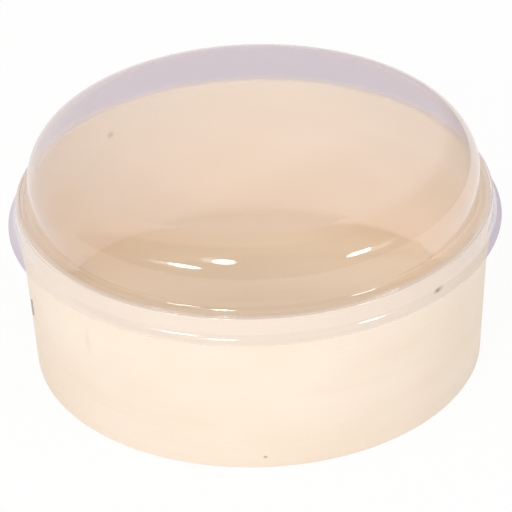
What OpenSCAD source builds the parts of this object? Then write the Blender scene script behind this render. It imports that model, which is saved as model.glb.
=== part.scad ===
// Round veneer cheese box with a clear thermoformed lid.
// The axis of the box is Z, and its lower edge stands on z = 0.

/* [Box] */
// Outside diameter of the side band at its rim
rim_d = 119; // [90:0.5:160]
// How much narrower the side band is at its lower edge, on the diameter
taper = 4.2; // [0:0.1:8]
// Height of the side band
band_h = 44.4; // [36:0.2:80]
// Thickness of the veneer strip that is bent into the side band
veneer_t = 1.4; // [1:0.1:2.4]

/* [Base] */
// Thickness of the plywood base
base_t = 3; // [1.5:0.1:4]
// Height of the base's underside above the lower edge of the side band
base_raise = 2; // [0:0.1:4]
// Glue gap all round the base
glue_gap = 0.05; // [0.02:0.01:0.2]

/* [Lap joint] */
// Length of the glued lap, along the outside of the rim
lap_l = 34; // [16:1:45]
// Direction of the strip's outer end, round the axis
lap_end_angle = 170; // [0:1:359]
// Thickness that the thinned outer end still stands proud of the strip below it
lap_step = 0.3; // [0.1:0.05:0.6]

/* [Staple] */
// Height of the staple's middle above the base
staple_rise = 15.8; // [5:0.2:30]
// Distance along the lap from the strip's inner end to the staple
staple_inset = 9; // [4:1:12]
// Length of the staple's crown, which stands upright
crown_l = 4.2; // [3:0.2:5]
// Width of the flat staple wire
wire_w = 0.9; // [0.5:0.1:1.4]
// Thickness of the flat staple wire
wire_t = 0.45; // [0.3:0.05:0.7]
// Length of the part of each leg that is turned over on the inside
clinch_l = 1.6; // [1:0.1:2.2]
// Depth to which the crown and the turned legs bite into the wood
bite = 0.1; // [0.05:0.05:0.2]

/* [Lid] */
// Thickness of the lid's clear film
film_t = 0.45; // [0.25:0.05:1]
// Clearance between the lap's proud end and the lid's skirt
lid_clear = 0.25; // [0.15:0.05:0.8]
// Width of the ledge, from the top of the dome wall out to the skirt
ledge_w = 3.8; // [3.2:0.1:10]
// Height of the flat top above the ledge
dome_rise = 15.5; // [13:0.5:40]
// Outside radius of the shoulder between the flat top and the dome wall
shoulder_r = 9.8; // [2:0.2:10]
// Slope of the dome wall, in degrees from upright
wall_draft = 1.5; // [0:0.5:4]
// Radius of the hollow between the dome wall and the ledge
fillet_r = 1.6; // [0.5:0.1:2]

/* [Lid skirt] */
// Distance that the skirt reaches down from the rim
skirt_drop = 6; // [5:0.2:14]
// Slope of the skirt above its flare, in degrees from upright
skirt_draft = 2; // [0:0.5:6]
// Radius of the hollow flare at the foot of the skirt
flare_r = 2.7; // [1:0.1:3]
// Angle through which the flare turns outwards
flare_turn = 60; // [20:1:80]
// Width of the flat trimmed edge beyond the flare
trim_l = 0.4; // [0.2:0.1:1.5]

/* [Hidden] */

round_steps = 180;
slack = 1;

rim_r = rim_d / 2;
foot_r = rim_r - taper / 2;
lean = atan(taper / 2 / band_h);

// The strip's outer end lies on its inner end. The lap swells evenly from nothing
// to lap_step, as a larger cone that touches the band where the lap begins.
lap_turn = lap_l / rim_r * 180 / PI;
lap_swell = lap_step / (1 - cos(lap_turn));
lap_start_angle = lap_end_angle + lap_turn;

// The staple's middle, round the axis and above the lower edge
staple_angle = lap_start_angle - staple_inset / rim_r * 180 / PI;
staple_z = base_raise + base_t + staple_rise;

// Levels and radii of the lid. Its ledge rests on the rim.
ledge_z = band_h + film_t;
top_z = ledge_z + dome_rise;
skirt_in_r = rim_r + lap_step + lid_clear;
skirt_out_r = skirt_in_r + film_t;
dome_r = skirt_out_r - ledge_w;
bend_r = lid_clear + film_t;

wood = [0.94, 0.86, 0.74];
wood_base = [0.88, 0.78, 0.65];
clear_film = [0.86, 0.84, 0.88, 0.35];
wire_metal = [0.62, 0.62, 0.58];

// Outside radius of the side band at height z
function band_out(z) = foot_r + (rim_r - foot_r) * z / band_h;

// Inside radius of the side band at height z
function band_in(z) = band_out(z) - veneer_t;

// How far the lap stands proud of the band in the direction a
function lap_proud(a) = lap_swell * (1 - cos(lap_start_angle - a));

// Points on an arc about centre c, from angle a to angle b, in n steps
function arc(c, r, a, b, n) =
    [for (i = [0 : n]) c + r * [cos(a + (b - a) * i / n), sin(a + (b - a) * i / n)]];

// Points of a list in the opposite order
function reversed(list) = [for (i = [len(list) - 1 : -1 : 0]) list[i]];

// A wedge of space about the axis, from direction a to direction b
module wedge(a, b, reach, height) {
    far = reach / cos((b - a) / 2);
    linear_extrude(height)
        polygon([[0, 0], far * [cos(a), sin(a)], far * [cos(b), sin(b)]]);
}

// Round plywood base, whose edge leans like the wall that it is glued into
module base_disc() {
    color(wood_base)
        translate([0, 0, base_raise])
            cylinder(h = base_t,
                     r1 = band_in(base_raise) - glue_gap,
                     r2 = band_in(base_raise + base_t) - glue_gap,
                     $fn = round_steps);
}

// The strip's outer end, where it lies over the inner end and grows proud of it
module lap_layer() {
    intersection() {
        wedge(lap_end_angle, lap_start_angle, rim_r + lap_swell, band_h);
        rotate([0, 0, lap_start_angle])
            translate([-lap_swell, 0, 0])
                cylinder(h = band_h, r1 = foot_r + lap_swell, r2 = rim_r + lap_swell,
                         $fn = round_steps);
    }
}

// The room inside the side band, run past both of its edges
module band_room() {
    translate([0, 0, -slack])
        cylinder(h = band_h + 2 * slack, r1 = band_in(-slack), r2 = band_in(band_h + slack),
                 $fn = round_steps);
}

// Veneer strip bent round and lapped at the side
module side_band() {
    color(wood)
        difference() {
            union() {
                cylinder(h = band_h, r1 = foot_r, r2 = rim_r, $fn = round_steps);
                lap_layer();
            }
            band_room();
        }
}

// One staple: x runs outwards from the outer face of the band, and the crown stands along z.
// Its legs go through the wood and are turned towards each other on the inside.
module staple(wood_t) {
    half = crown_l / 2;
    inside = -wood_t - wire_t + bite;
    translate([-bite, -wire_w / 2, -half])
        cube([wire_t, wire_w, crown_l]);
    for (side = [0, 1])
        mirror([0, 0, side]) {
            translate([inside, -wire_w / 2, half - wire_t])
                cube([wood_t + wire_t, wire_w, wire_t]);
            translate([inside, -wire_w / 2, half - clinch_l])
                cube([wire_t, wire_w, clinch_l]);
        }
}

// The staple in its place, through both layers of the lap
module lap_staples() {
    proud = lap_proud(staple_angle);
    color(wire_metal)
        rotate([0, 0, staple_angle])
            translate([band_out(staple_z) + proud, 0, staple_z])
                rotate([0, lean, 0])
                    staple((veneer_t + proud) * cos(lean));
}

// Clear lid: one film of even thickness, formed from the flat top down to the trimmed edge.
// Both faces of the film share the centres of the bends.
module lid() {
    shoulder = [dome_r - shoulder_r * cos(wall_draft), top_z - shoulder_r];
    wall_top = shoulder + shoulder_r * [cos(wall_draft), sin(wall_draft)];
    fillet_z = ledge_z + fillet_r;
    wall_l = (wall_top.y + fillet_r * sin(wall_draft) - fillet_z) / cos(wall_draft);
    fillet = [wall_top.x + wall_l * sin(wall_draft) + fillet_r * cos(wall_draft), fillet_z];
    bend = [skirt_out_r - bend_r, ledge_z - bend_r];

    bend_end = bend + bend_r * [cos(skirt_draft), sin(skirt_draft)];
    turned = flare_turn + skirt_draft;
    flare_drop = flare_r * (sin(turned) - sin(skirt_draft)) + trim_l * cos(turned);
    skirt_l = (bend_end.y - (band_h - skirt_drop) - flare_drop) / cos(skirt_draft);
    flare = bend_end + skirt_l * [sin(skirt_draft), -cos(skirt_draft)]
        + flare_r * [cos(skirt_draft), sin(skirt_draft)];
    trim = trim_l * [sin(turned), -cos(turned)];

    outer = concat(
        [[0, top_z]],
        arc(shoulder, shoulder_r, 90, wall_draft, 24),
        arc(fillet, fillet_r, 180 + wall_draft, 270, 10),
        arc(bend, bend_r, 90, skirt_draft, 6),
        arc(flare, flare_r, 180 + skirt_draft, 180 + turned, 10),
        [flare + flare_r * [cos(180 + turned), sin(180 + turned)] + trim]);
    inner = concat(
        [[0, top_z - film_t]],
        arc(shoulder, shoulder_r - film_t, 90, wall_draft, 24),
        arc(fillet, fillet_r + film_t, 180 + wall_draft, 270, 10),
        arc(bend, bend_r - film_t, 90, skirt_draft, 6),
        arc(flare, flare_r + film_t, 180 + skirt_draft, 180 + turned, 10),
        [flare + (flare_r + film_t) * [cos(180 + turned), sin(180 + turned)] + trim]);

    color(clear_film)
        rotate_extrude($fn = round_steps)
            polygon(concat(outer, reversed(inner)));
}

base_disc();
side_band();
lap_staples();
lid();
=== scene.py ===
# %% [markdown]
# # A round veneer cheese box with a clear lid
#
# The real box is a strip of pale veneer bent into a ring, a round of plywood glued inside it, one
# wire staple, and a lid formed from one sheet of clear film. The imported CAD model is the frame:
# it says where each piece is, and this file gives the pieces their finish. It is loaded first,
# and its box is kept.

# %% Load the frame
import math

import bmesh
import bpy
from mathutils import Matrix, Vector


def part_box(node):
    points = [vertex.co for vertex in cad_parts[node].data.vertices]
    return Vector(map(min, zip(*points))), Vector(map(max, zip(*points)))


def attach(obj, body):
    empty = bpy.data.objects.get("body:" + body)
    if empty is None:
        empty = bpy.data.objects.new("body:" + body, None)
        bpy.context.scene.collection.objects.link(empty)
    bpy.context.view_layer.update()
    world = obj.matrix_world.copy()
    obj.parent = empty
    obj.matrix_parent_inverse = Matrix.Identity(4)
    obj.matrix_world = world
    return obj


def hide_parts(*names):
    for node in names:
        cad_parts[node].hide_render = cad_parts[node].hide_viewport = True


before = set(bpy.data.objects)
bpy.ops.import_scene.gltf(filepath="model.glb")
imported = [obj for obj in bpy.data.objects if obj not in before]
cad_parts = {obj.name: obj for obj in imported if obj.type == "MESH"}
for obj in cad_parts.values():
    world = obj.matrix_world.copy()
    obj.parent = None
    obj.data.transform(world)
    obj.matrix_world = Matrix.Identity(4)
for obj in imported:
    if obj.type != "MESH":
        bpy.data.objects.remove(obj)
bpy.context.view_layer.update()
MM = 0.001

# %% [markdown]
# ## Camera
#
# The box was photographed from a little above, with a long lens, which keeps the two rims nearly
# parallel. A camera could be placed by eye, but here it was fitted to the outlines of the rim, the
# foot and the lid. The picture also leans by about two degrees, so the camera is rolled.

# %% Camera
CAMERA_AT = Vector((0, -0.60146, 0.39579))
CAMERA_AIM = Vector((-0.00007, 0, 0.02492))
CAMERA_ROLL = math.radians(-1.9316)

camera_data = bpy.data.cameras.new("photo_camera")
camera_data.sensor_width = 36
camera_data.lens = 194.31
camera = bpy.data.objects.new("photo_camera", camera_data)
bpy.context.scene.collection.objects.link(camera)
bpy.context.scene.camera = camera

look = (CAMERA_AIM - CAMERA_AT).normalized()
right = look.cross(Vector((0, 0, 1))).normalized()
up = right.cross(look)
rolled_right = right * math.cos(CAMERA_ROLL) + up * math.sin(CAMERA_ROLL)
rolled_up = up * math.cos(CAMERA_ROLL) - right * math.sin(CAMERA_ROLL)
turn = Matrix((rolled_right, rolled_up, -look)).transposed().to_4x4()
camera.matrix_world = Matrix.Translation(CAMERA_AT) @ turn
print("camera is", round((CAMERA_AIM - CAMERA_AT).length, 3), "m from the box")

# %% [markdown]
# ## Small helpers
#
# Blender's operators work on whatever is selected, and the imported nodes are selected after the
# load. So one helper selects a single piece, and others wire up the nodes of a material. They
# keep the cells below short.

# %% Helpers for pieces and for nodes
def pick(piece):
    """Selects one piece and nothing else."""
    bpy.ops.object.select_all(action="DESELECT")
    piece.select_set(True)
    bpy.context.view_layer.objects.active = piece


def apply_all(piece):
    """Applies the piece's modifiers in their order."""
    pick(piece)
    for modifier in list(piece.modifiers):
        bpy.ops.object.modifier_apply(modifier=modifier.name)


def settle(piece, body, replaced):
    """Puts the piece's place into its mesh, hands it to its body, and hides the CAD node it replaces."""
    pick(piece)
    bpy.ops.object.transform_apply(location=True, rotation=True, scale=True)
    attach(piece, body)
    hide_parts(replaced)
    print(piece.name, "has", len(piece.data.polygons), "faces")


def node(tree, kind, **values):
    """Adds a node. Each value goes to the node's setting or socket of that name."""
    made = tree.nodes.new(kind)
    for name, value in values.items():
        if hasattr(made, name):
            setattr(made, name, value)
        else:
            made.inputs[name.replace("_", " ")].default_value = value
    return made


def maths(tree, operation, first, second=None, clamp=False):
    """Adds a Math node. Its inputs are sockets or numbers, and it returns its result."""
    made = tree.nodes.new("ShaderNodeMath")
    made.operation = operation
    made.use_clamp = clamp
    for socket, value in zip(made.inputs, (first, second)):
        if isinstance(value, bpy.types.NodeSocket):
            tree.links.new(value, socket)
        elif value is not None:
            socket.default_value = value
    return made.outputs[0]


def blend(tree, share, first, second):
    """Mixes two colours, each of which is a socket or three numbers."""
    made = tree.nodes.new("ShaderNodeMix")
    made.data_type = "RGBA"
    for socket, value in ((made.inputs[0], share), (made.inputs[6], first), (made.inputs[7], second)):
        if isinstance(value, bpy.types.NodeSocket):
            tree.links.new(value, socket)
        elif isinstance(value, (int, float)):
            socket.default_value = value
        else:
            socket.default_value = (*value, 1)
    return made.outputs[2]


def ramp(tree, value, low, high):
    """Rises smoothly from 0 to 1 while the value goes from low to high."""
    made = node(tree, "ShaderNodeMapRange", interpolation_type="SMOOTHSTEP")
    made.inputs["From Min"].default_value = low
    made.inputs["From Max"].default_value = high
    tree.links.new(value, made.inputs["Value"])
    return made.outputs["Result"]


def stretched_noise(tree, coordinates, stretch, detail=3, roughness=0.5, shift=(0, 0, 0)):
    """Noise whose spots are stretched: the numbers are spots per metre along each axis."""
    mapping = node(tree, "ShaderNodeMapping")
    mapping.inputs["Scale"].default_value = stretch
    mapping.inputs["Location"].default_value = shift
    tree.links.new(coordinates, mapping.inputs["Vector"])
    noise = node(tree, "ShaderNodeTexNoise", Scale=1.0, Detail=detail, Roughness=roughness)
    tree.links.new(mapping.outputs[0], noise.inputs["Vector"])
    return noise.outputs["Fac"]


def new_material(name):
    """A material with an empty node tree and its output."""
    material = bpy.data.materials.new(name)
    material.use_nodes = True
    material.node_tree.nodes.clear()
    output = material.node_tree.nodes.new("ShaderNodeOutputMaterial")
    return material, material.node_tree, output

# %% [markdown]
# ## Sizes
#
# The pieces made here stand where the CAD nodes are, so they use the same sizes. What can be
# measured from a node's box is measured, and the rest repeats the CAD model's named values. The
# lid is the exception. Its film is 0.3 mm thick instead of 0.45 mm, its skirt starts 0.35 mm
# further in and slopes by 4 degrees instead of 2, and its trimmed edge is 0.6 mm higher. It still
# rests on the rim, and its top is at the same height.

# %% Sizes that the pieces share
band_low, band_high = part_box("side_band")
lid_low, lid_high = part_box("lid")

RIM_Z = band_high.z
TOP_Z = lid_high.z
TRIM_LIFT = 0.6 * MM
SKIRT_FOOT_Z = lid_low.z + TRIM_LIFT
RIM_R = 59.5 * MM
FOOT_R = 57.4 * MM
VENEER_T = 1.4 * MM
FILM_T = 0.3 * MM
print("rim at", round(RIM_Z / MM, 2), "mm, top of the lid at", round(TOP_Z / MM, 2), "mm")


def band_out(z):
    """Outside radius of the side band at height z."""
    return FOOT_R + (RIM_R - FOOT_R) * z / RIM_Z

# %% [markdown]
# ## Side band: cut the strip
#
# The real band starts as a flat strip of veneer. A cylinder with a wall would give the ring, but
# not the lap at the side, where one end lies on the other. So the strip is made flat first: a
# box with its long edges eased, cut across often enough to bend smoothly.

# %% Cut the flat strip
LAP_L = 34 * MM
LAP_END = math.radians(170)
LAP_TURN = LAP_L / RIM_R
LAP_START = LAP_END + LAP_TURN
STRIP_L = RIM_R * (2 * math.pi + LAP_TURN)

bpy.ops.object.select_all(action="DESELECT")
bpy.ops.mesh.primitive_cube_add(size=1, location=(STRIP_L / 2, RIM_Z / 2, VENEER_T / 2))
strip = bpy.context.object
strip.name = "veneer_band"
strip.scale = (STRIP_L, RIM_Z, VENEER_T)
bpy.ops.object.transform_apply(location=True, rotation=True, scale=True)


def select_edges(piece, wanted):
    """In edit mode, selects only the edges whose two ends satisfy the test."""
    bpy.ops.mesh.select_mode(type="EDGE")
    bpy.ops.mesh.select_all(action="DESELECT")
    shape = bmesh.from_edit_mesh(piece.data)
    for edge in shape.edges:
        edge.select = wanted(*(corner.co for corner in edge.verts))
    bmesh.update_edit_mesh(piece.data)


bpy.ops.object.mode_set(mode="EDIT")
select_edges(strip, lambda a, b: abs(a.x - b.x) > STRIP_L / 2)
bpy.ops.mesh.bevel(offset=0.16 * MM, segments=3, affect="EDGES")
select_edges(strip, lambda a, b: abs(a.x - b.x) > STRIP_L / 2)
bpy.ops.mesh.subdivide(number_cuts=20)
select_edges(strip, lambda a, b: abs(a.x - b.x) > STRIP_L / 50)
bpy.ops.mesh.subdivide(number_cuts=22)
bpy.ops.object.mode_set(mode="OBJECT")
print("strip is", round(STRIP_L / MM, 1), "mm long, with", len(strip.data.vertices), "points")

# %% [markdown]
# ## Side band: mark the grain, then bend the strip
#
# Veneer grain runs along the strip. If the pattern were laid on after bending, it would have to
# be wrapped round a cone. It is simpler to note each point's place on the flat strip as its UV
# now, in metres, and to bend the strip afterwards, so that the grain bends with the wood. The
# ends are thinned where they meet, as they are on the real box.

# %% Bend the strip round and lap its ends
LAP_STEP = 0.3 * MM
LAP_SWELL = LAP_STEP / (1 - math.cos(LAP_TURN))
FEATHER_T = 0.12 * MM
GLUE_T = 0.03 * MM

grain = strip.data.uv_layers.new(name="grain")
for loop in strip.data.loops:
    flat = strip.data.vertices[loop.vertex_index].co
    grain.data[loop.index].uv = (flat.x, flat.y)
strip.data.uv_layers.active = grain


def inner_end_t(angle):
    """Thickness of the strip's inner end under the lap, in the direction of the angle."""
    return FEATHER_T + (VENEER_T - FEATHER_T) * (LAP_START - angle) / LAP_TURN


def layer(angle, z):
    """Inside and outside radius of the strip, by how far it has been wound."""
    outside, inside = band_out(z), band_out(z) - VENEER_T
    if angle < LAP_START:
        proud = LAP_SWELL * (1 - math.cos(LAP_START - angle))
        return inside + inner_end_t(angle) + GLUE_T, outside + proud
    if angle > LAP_END + 2 * math.pi:
        return inside, inside + inner_end_t(angle - 2 * math.pi)
    return inside, outside


for vertex in strip.data.vertices:
    along, z, depth = vertex.co
    angle = LAP_END + along / RIM_R
    inside, outside = layer(angle, z)
    radius = inside + (outside - inside) * depth / VENEER_T
    vertex.co = (radius * math.cos(angle), radius * math.sin(angle), z)
strip.data.update()
pick(strip)
bpy.ops.object.shade_smooth_by_angle(angle=math.radians(40))
settle(strip, "box", "side_band")

# %% [markdown]
# ## Veneer
#
# Rotary-cut poplar is pale and nearly plain: long faint streaks along the strip, soft cloudy
# patches, and here and there the brown mark of a pin knot. A wood picture would repeat and would
# be far too strong. Noise stretched along the strip gives streaks of the right length, and each
# knot is placed by its distance from a point on the flat strip.

# %% Veneer material
VENEER_PALE = (0.93, 0.812, 0.690)
VENEER_WARM = (0.88, 0.730, 0.580)
VENEER_CUT = (0.60, 0.43, 0.28)
KNOT_BROWN = (0.30, 0.17, 0.09)


def strip_place(angle, z):
    """Where a point at this direction and height (mm) lies on the flat strip."""
    wound = (math.radians(angle) - LAP_END) % (2 * math.pi)
    return wound * RIM_R, z * MM


def spot(tree, coordinates, centre, radii, soft=0.6):
    """1 inside a spot on the flat strip and 0 outside it, with a soft edge."""
    offset = node(tree, "ShaderNodeVectorMath", operation="SUBTRACT")
    tree.links.new(coordinates, offset.inputs[0])
    offset.inputs[1].default_value = (*centre, 0)
    shape = node(tree, "ShaderNodeVectorMath", operation="DIVIDE")
    tree.links.new(offset.outputs[0], shape.inputs[0])
    shape.inputs[1].default_value = (radii[0], radii[1], 1)
    length = node(tree, "ShaderNodeVectorMath", operation="LENGTH")
    tree.links.new(shape.outputs[0], length.inputs[0])
    return maths(tree, "SUBTRACT", 1, ramp(tree, length.outputs["Value"], 1 - soft, 1), clamp=True)


veneer, tree, output = new_material("pale_veneer")
uv = node(tree, "ShaderNodeUVMap", uv_map="grain").outputs[0]
streaks = stretched_noise(tree, uv, (14, 420, 1), detail=4, roughness=0.6)
clouds = stretched_noise(tree, uv, (22, 48, 1), detail=2, shift=(3, 7, 0))
fibres = stretched_noise(tree, uv, (70, 2600, 1), detail=3, roughness=0.6)

tone = maths(tree, "ADD", maths(tree, "MULTIPLY", ramp(tree, streaks, 0.35, 0.75), 0.2),
             maths(tree, "MULTIPLY", ramp(tree, clouds, 0.3, 0.75), 0.5))
tone = maths(tree, "ADD", tone, maths(tree, "MULTIPLY", ramp(tree, fibres, 0.4, 0.9), 0.15))
colour = blend(tree, tone, VENEER_PALE, VENEER_WARM)

height = node(tree, "ShaderNodeSeparateXYZ")
tree.links.new(uv, height.inputs[0])
cut_edge = ramp(tree, height.outputs["Y"], RIM_Z - 0.16 * MM, RIM_Z - 0.02 * MM)
colour = blend(tree, maths(tree, "MULTIPLY", cut_edge, 0.55), colour, VENEER_CUT)

KNOTS = [
    (strip_place(130.9, 37.3), (1.6 * MM, 0.9 * MM), 0.5),
    (strip_place(317.2, 38.5), (2.4 * MM, 1.3 * MM), 0.35),
    (strip_place(316.9, 38.5), (0.9 * MM, 0.6 * MM), 0.75),
    (strip_place(270.6, 3.2), (0.7 * MM, 0.45 * MM), 0.6),
    (strip_place(225.0, 28.0), (1.2 * MM, 5.0 * MM), 0.07),
]
for centre, radii, strength in KNOTS:
    mark = maths(tree, "MULTIPLY", spot(tree, uv, centre, radii), strength)
    colour = blend(tree, mark, colour, KNOT_BROWN)

wood = node(tree, "ShaderNodeBsdfPrincipled", Roughness=0.62)
wood.inputs["Specular IOR Level"].default_value = 0.25
tree.links.new(colour, wood.inputs["Base Color"])
bump = node(tree, "ShaderNodeBump", Strength=0.25, Distance=0.06 * MM)
tree.links.new(maths(tree, "ADD", fibres, maths(tree, "MULTIPLY", streaks, 0.6)), bump.inputs["Height"])
tree.links.new(bump.outputs[0], wood.inputs["Normal"])
tree.links.new(wood.outputs[0], output.inputs["Surface"])
strip.data.materials.clear()
strip.data.materials.append(veneer)
print("veneer has", len(KNOTS), "marks")

# %% [markdown]
# ## Base
#
# The base is a round cut from thin plywood, and it sits a little above the lower edge. The CAD
# node already has its shape, so it stays and gets only a finish. Its straight grain follows
# Object coordinates, which are metres here, because a flat board isn't bent.

# %% Plywood material
PLY_PALE = (0.80, 0.655, 0.485)
PLY_WARM = (0.70, 0.540, 0.370)
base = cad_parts["base_disc"]
plywood, tree, output = new_material("base_plywood")
place = node(tree, "ShaderNodeTexCoord").outputs["Object"]
streaks = stretched_noise(tree, place, (12, 300, 300), detail=4, roughness=0.6)
clouds = stretched_noise(tree, place, (18, 40, 40), detail=2, shift=(1, 5, 0))
tone = maths(tree, "ADD", maths(tree, "MULTIPLY", ramp(tree, streaks, 0.35, 0.75), 0.4),
             maths(tree, "MULTIPLY", ramp(tree, clouds, 0.3, 0.75), 0.4))
wood = node(tree, "ShaderNodeBsdfPrincipled", Roughness=0.6)
wood.inputs["Specular IOR Level"].default_value = 0.25
tree.links.new(blend(tree, tone, PLY_PALE, PLY_WARM), wood.inputs["Base Color"])
bump = node(tree, "ShaderNodeBump", Strength=0.25, Distance=0.05 * MM)
tree.links.new(streaks, bump.inputs["Height"])
tree.links.new(bump.outputs[0], wood.inputs["Normal"])
tree.links.new(wood.outputs[0], output.inputs["Surface"])
base.data.materials.clear()
base.data.materials.append(plywood)

# %% [markdown]
# ## Staple wire
#
# The staple is dull grey wire, and its CAD node is already the right size and in its place. Wire
# has a soft sheen that is broken by scratches along it, so a fine noise changes its roughness.

# %% Wire material
wire, tree, output = new_material("staple_wire")
place = node(tree, "ShaderNodeTexCoord").outputs["Object"]
scratches = stretched_noise(tree, place, (4000, 4000, 500), detail=3)
metal = node(tree, "ShaderNodeBsdfPrincipled", Metallic=1.0)
metal.inputs["Base Color"].default_value = (0.52, 0.52, 0.49, 1)
tree.links.new(maths(tree, "ADD", maths(tree, "MULTIPLY", scratches, 0.25), 0.3), metal.inputs["Roughness"])
tree.links.new(metal.outputs[0], output.inputs["Surface"])
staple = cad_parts["lap_staples"]
staple.data.materials.clear()
staple.data.materials.append(wire)

# %% [markdown]
# ## Lid: draw the profile
#
# A thermoformed lid is round, so its outline is drawn once and spun. The outline could be a list
# of points, but a designer draws it as lines and arcs that meet smoothly. Here one point is
# pulled along: extruded for each straight part, and spun about a centre for each bend.

# %% Draw half of the lid's outline
DOME_R = 56.75 * MM
SHOULDER_R = 9.8 * MM
FILLET_R = 1.6 * MM
BEND_R = 0.45 * MM
FLARE_R = 2.8 * MM
TRIM_L = 0.4 * MM
SKIRT_R = 60.15 * MM
LEDGE_Z = RIM_Z + FILM_T
WALL_DRAFT = math.radians(1.5)
SKIRT_DRAFT = math.radians(4)
FLARE_TURN = math.radians(60)


def pen_point(piece):
    """The selected point of the outline, where the pen is now."""
    shape = bmesh.from_edit_mesh(piece.data)
    return next(corner.co.copy() for corner in shape.verts if corner.select)


def line_to(x, z):
    """Pulls the pen in a straight line to (x, z)."""
    here = pen_point(bpy.context.object)
    bpy.ops.mesh.extrude_vertices_move(
        TRANSFORM_OT_translate={"value": (x - here.x, 0, z - here.z)})


def arc_about(x, z, turn, steps):
    """Swings the pen about (x, z), with a positive turn from up towards outwards."""
    bpy.ops.mesh.spin(steps=steps, angle=-turn, center=(x, 0, z), axis=(0, 1, 0))


bpy.ops.object.select_all(action="DESELECT")
bpy.ops.mesh.primitive_plane_add(size=1 * MM, location=(0, 0, 0))
lid = bpy.context.object
lid.name = "clear_lid"
bpy.ops.object.mode_set(mode="EDIT")
bpy.ops.mesh.select_mode(type="VERT")
bpy.ops.mesh.select_all(action="SELECT")
bpy.ops.mesh.merge(type="CENTER")
bpy.ops.transform.translate(value=(0, 0, TOP_Z))

shoulder_x = DOME_R - SHOULDER_R * math.cos(WALL_DRAFT)
for share in (0.25, 0.5, 0.75, 1):
    line_to(shoulder_x * share, TOP_Z)
arc_about(shoulder_x, TOP_Z - SHOULDER_R, math.pi / 2 - WALL_DRAFT, 36)
wall_top = pen_point(lid)
fillet_z = LEDGE_Z + FILLET_R
wall_l = (wall_top.z + FILLET_R * math.sin(WALL_DRAFT) - fillet_z) / math.cos(WALL_DRAFT)
line_to(wall_top.x + wall_l * math.sin(WALL_DRAFT), wall_top.z - wall_l * math.cos(WALL_DRAFT))
fillet_x = pen_point(lid).x + FILLET_R * math.cos(WALL_DRAFT)
arc_about(fillet_x, fillet_z, -(math.pi / 2 - WALL_DRAFT), 14)
line_to(SKIRT_R - BEND_R, LEDGE_Z)
arc_about(SKIRT_R - BEND_R, LEDGE_Z - BEND_R, math.pi / 2 - SKIRT_DRAFT, 8)
bend_end = pen_point(lid)
turned = FLARE_TURN + SKIRT_DRAFT
flare_drop = FLARE_R * (math.sin(turned) - math.sin(SKIRT_DRAFT)) + TRIM_L * math.cos(turned)
skirt_l = (bend_end.z - SKIRT_FOOT_Z - flare_drop) / math.cos(SKIRT_DRAFT)
line_to(bend_end.x + skirt_l * math.sin(SKIRT_DRAFT), bend_end.z - skirt_l * math.cos(SKIRT_DRAFT))
flare_top = pen_point(lid)
arc_about(flare_top.x + FLARE_R * math.cos(SKIRT_DRAFT),
          flare_top.z + FLARE_R * math.sin(SKIRT_DRAFT), -FLARE_TURN, 14)
flare_end = pen_point(lid)
line_to(flare_end.x + TRIM_L * math.sin(turned), flare_end.z - TRIM_L * math.cos(turned))
trim_end = pen_point(lid)
print("outline ends at", round(trim_end.x / MM, 2), round(trim_end.z / MM, 2), "mm")

# %% [markdown]
# ## Lid: spin the outline and give it thickness
#
# Spinning the outline makes a skin with no thickness. Glass and film bend light at both faces,
# so the skin gets the film's real thickness, inwards, after its doubled points are merged and its
# faces turned outwards.

# %% Spin the lid
bpy.ops.mesh.select_all(action="SELECT")
bpy.ops.mesh.spin(steps=288, angle=2 * math.pi, center=(0, 0, 0), axis=(0, 0, 1))
bpy.ops.mesh.select_all(action="SELECT")
bpy.ops.mesh.remove_doubles(threshold=0.004 * MM)
bpy.ops.mesh.normals_make_consistent(inside=False)
bpy.ops.object.mode_set(mode="OBJECT")
wall = lid.modifiers.new("film", "SOLIDIFY")
wall.thickness = FILM_T
wall.offset = -1
wall.use_even_offset = True
apply_all(lid)
bpy.ops.object.shade_smooth_by_angle(angle=math.radians(40))
settle(lid, "lid", "lid")
print("lid box in mm:", [round(v / MM, 2) for v in lid.dimensions])

# %% [markdown]
# ## Clear film
#
# The film is glossy and faintly violet, most at the edge of the dome, where light crosses it at a
# slant. Most of the greyish violet seen through it is painted shade on the floor and world behind
# it. It is glass with the index of a polyester, a little rough, and it lets the lamps through
# to the box below, so that the inside isn't lit through a black shadow. Light that has been
# mirrored twice already passes straight out, because a ray that is caught between the film's two
# faces would end in black.

# %% Film material
film, tree, output = new_material("clear_film")
clear = node(tree, "ShaderNodeBsdfPrincipled", Roughness=0.06, IOR=1.57)
clear.inputs["Transmission Weight"].default_value = 1
clear.inputs["Base Color"].default_value = (0.95, 0.94, 0.945, 1)
through = node(tree, "ShaderNodeBsdfTransparent")
through.inputs["Color"].default_value = (0.99, 0.985, 0.98, 1)
rays = node(tree, "ShaderNodeLightPath")
trapped = maths(tree, "GREATER_THAN", rays.outputs["Glossy Depth"], 1.5)
mix = node(tree, "ShaderNodeMixShader")
tree.links.new(maths(tree, "MAXIMUM", rays.outputs["Is Shadow Ray"], trapped), mix.inputs[0])
tree.links.new(clear.outputs[0], mix.inputs[1])
tree.links.new(through.outputs[0], mix.inputs[2])
tree.links.new(mix.outputs[0], output.inputs["Surface"])
lid.data.materials.clear()
lid.data.materials.append(film)
lid.visible_diffuse = False
print("film is", round(FILM_T / MM, 2), "mm thick")

# %% [markdown]
# ## Floor and background
#
# The photograph has a white background. The floor is a wide pale disc. Seen by the camera it is
# nearly all white light of its own, with a little plain surface mixed in, which keeps a soft
# shadow under the box. Seen through the lid it is mostly a glow of painted shade, greyish violet,
# which stands in for the box's shadow on the floor behind it, with a little real shading mixed in.
# Seen from below it is clear, so that the underside can be looked at.

# %% Floor
# Painted shade: through the lid, the floor and the world show this greyish violet in place of the box's shadow
# behind it.
PAINTED_SHADE_THROUGH_LID = (0.66, 0.59, 0.66)

bpy.ops.object.select_all(action="DESELECT")
bpy.ops.mesh.primitive_circle_add(vertices=96, radius=2.5, fill_type="NGON", location=(0, 0, -0.05 * MM))
floor = bpy.context.object
floor.name = "floor"

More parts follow.
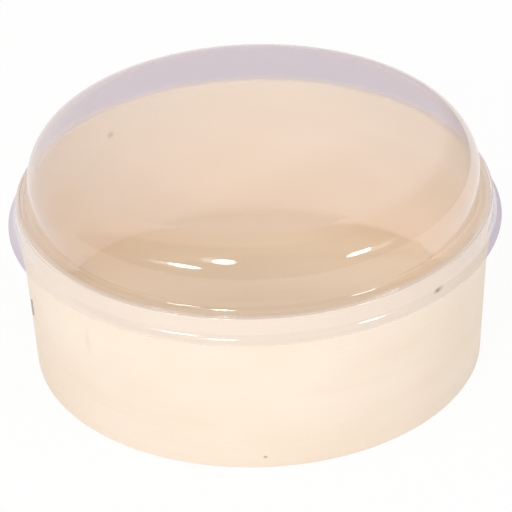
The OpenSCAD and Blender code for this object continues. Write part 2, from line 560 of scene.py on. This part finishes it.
floor_paint, tree, output = new_material("floor_paint")
matt = node(tree, "ShaderNodeBsdfDiffuse")
matt.inputs["Color"].default_value = (0.90, 0.89, 0.88, 1)
glow_and_painted_shade = node(tree, "ShaderNodeEmission", Strength=1.0)
rays = node(tree, "ShaderNodeLightPath")
share = maths(tree, "MULTIPLY", rays.outputs["Is Camera Ray"], 0.92)
share = maths(tree, "MAXIMUM", share, rays.outputs["Is Glossy Ray"])
share = maths(tree, "MAXIMUM", share, maths(tree, "MULTIPLY", rays.outputs["Is Transmission Ray"], 0.75))
# Painted shade: through the lid the floor's glow is greyish violet, not white.
tree.links.new(blend(tree, rays.outputs["Is Transmission Ray"], (1, 1, 1), PAINTED_SHADE_THROUGH_LID), glow_and_painted_shade.inputs["Color"])
lit = node(tree, "ShaderNodeMixShader")
tree.links.new(share, lit.inputs[0])
tree.links.new(matt.outputs[0], lit.inputs[1])
tree.links.new(glow_and_painted_shade.outputs[0], lit.inputs[2])
clear_below = node(tree, "ShaderNodeBsdfTransparent")
faces = node(tree, "ShaderNodeNewGeometry")
sided = node(tree, "ShaderNodeMixShader")
tree.links.new(faces.outputs["Backfacing"], sided.inputs[0])
tree.links.new(lit.outputs[0], sided.inputs[1])
tree.links.new(clear_below.outputs[0], sided.inputs[2])
tree.links.new(sided.outputs[0], output.inputs["Surface"])
floor.data.materials.append(floor_paint)

# %% [markdown]
# ## World
#
# The world is white to the camera, and through the lid it is the same greyish violet painted
# shade as the floor. Gloss sees what stood in the studio: a white sheet behind the box that fades
# out to the right, and a dimmer room above and in front of it. All other light is a plain fill,
# brighter from above.

# %% World
world = bpy.data.worlds.new("studio")
bpy.context.scene.world = world
world.use_nodes = True
tree = world.node_tree
tree.nodes.clear()
output = tree.nodes.new("ShaderNodeOutputWorld")
direction = node(tree, "ShaderNodeSeparateXYZ")
tree.links.new(node(tree, "ShaderNodeTexCoord").outputs["Generated"], direction.inputs[0])
behind = ramp(tree, direction.outputs["Y"], -0.05, 0.12)
left_of_edge = maths(tree, "SUBTRACT", 1, ramp(tree, direction.outputs["X"], 0.0, 0.5))
sheet = maths(tree, "MULTIPLY", behind, left_of_edge)
seen_in_gloss = blend(tree, sheet, (0.22, 0.22, 0.23), (0.95, 0.95, 0.97))
rays = node(tree, "ShaderNodeLightPath")
fill = blend(tree, ramp(tree, direction.outputs["Z"], 0, 1), (0.42, 0.42, 0.43), (0.96, 0.95, 0.93))
colour = blend(tree, rays.outputs["Is Glossy Ray"], fill, seen_in_gloss)
# Painted shade: through the lid the world is the greyish violet of a shaded studio.
colour = blend(tree, rays.outputs["Is Transmission Ray"], colour, PAINTED_SHADE_THROUGH_LID)
colour = blend(tree, rays.outputs["Is Camera Ray"], colour, (1, 1, 1))
background = node(tree, "ShaderNodeBackground")
tree.links.new(colour, background.inputs["Color"])
tree.links.new(background.outputs[0], output.inputs["Surface"])

# %% [markdown]
# ## Lamps
#
# The bright spots on the lid show where the lamps stood: two on the left, one of them higher, and
# a lower one on the right. Each is an oval aimed at the box, of about the size that its reflection
# has. A disc would be simpler, but the spots aren't as tall as they are wide.

# %% Lamps
LAMP_DISTANCE = 1.4
LAMPS = [
    ("lamp_left", -35.2, 23.9, 0.36, 0.17, 3.2),
    ("lamp_left_high", -18.4, 45.6, 0.22, 0.26, 3.5),
    ("lamp_right", 51.4, 24.0, 0.30, 0.20, 2.2),
]
for name, azimuth, elevation, width, tall, power in LAMPS:
    azimuth, elevation = math.radians(azimuth), math.radians(elevation)
    towards = Vector((math.sin(azimuth) * math.cos(elevation),
                      -math.cos(azimuth) * math.cos(elevation), math.sin(elevation)))
    lamp_data = bpy.data.lights.new(name, "AREA")
    lamp_data.shape = "ELLIPSE"
    lamp_data.size = width
    lamp_data.size_y = tall
    lamp_data.energy = power
    lamp = bpy.data.objects.new(name, lamp_data)
    bpy.context.scene.collection.objects.link(lamp)
    lamp.location = towards * LAMP_DISTANCE + Vector((0, 0, 0.05))
    lamp.rotation_euler = (-towards).to_track_quat("-Z", "Y").to_euler()
    lamp.visible_camera = False
bpy.context.scene.view_settings.view_transform = "Standard"
print(len(LAMPS), "lamps")
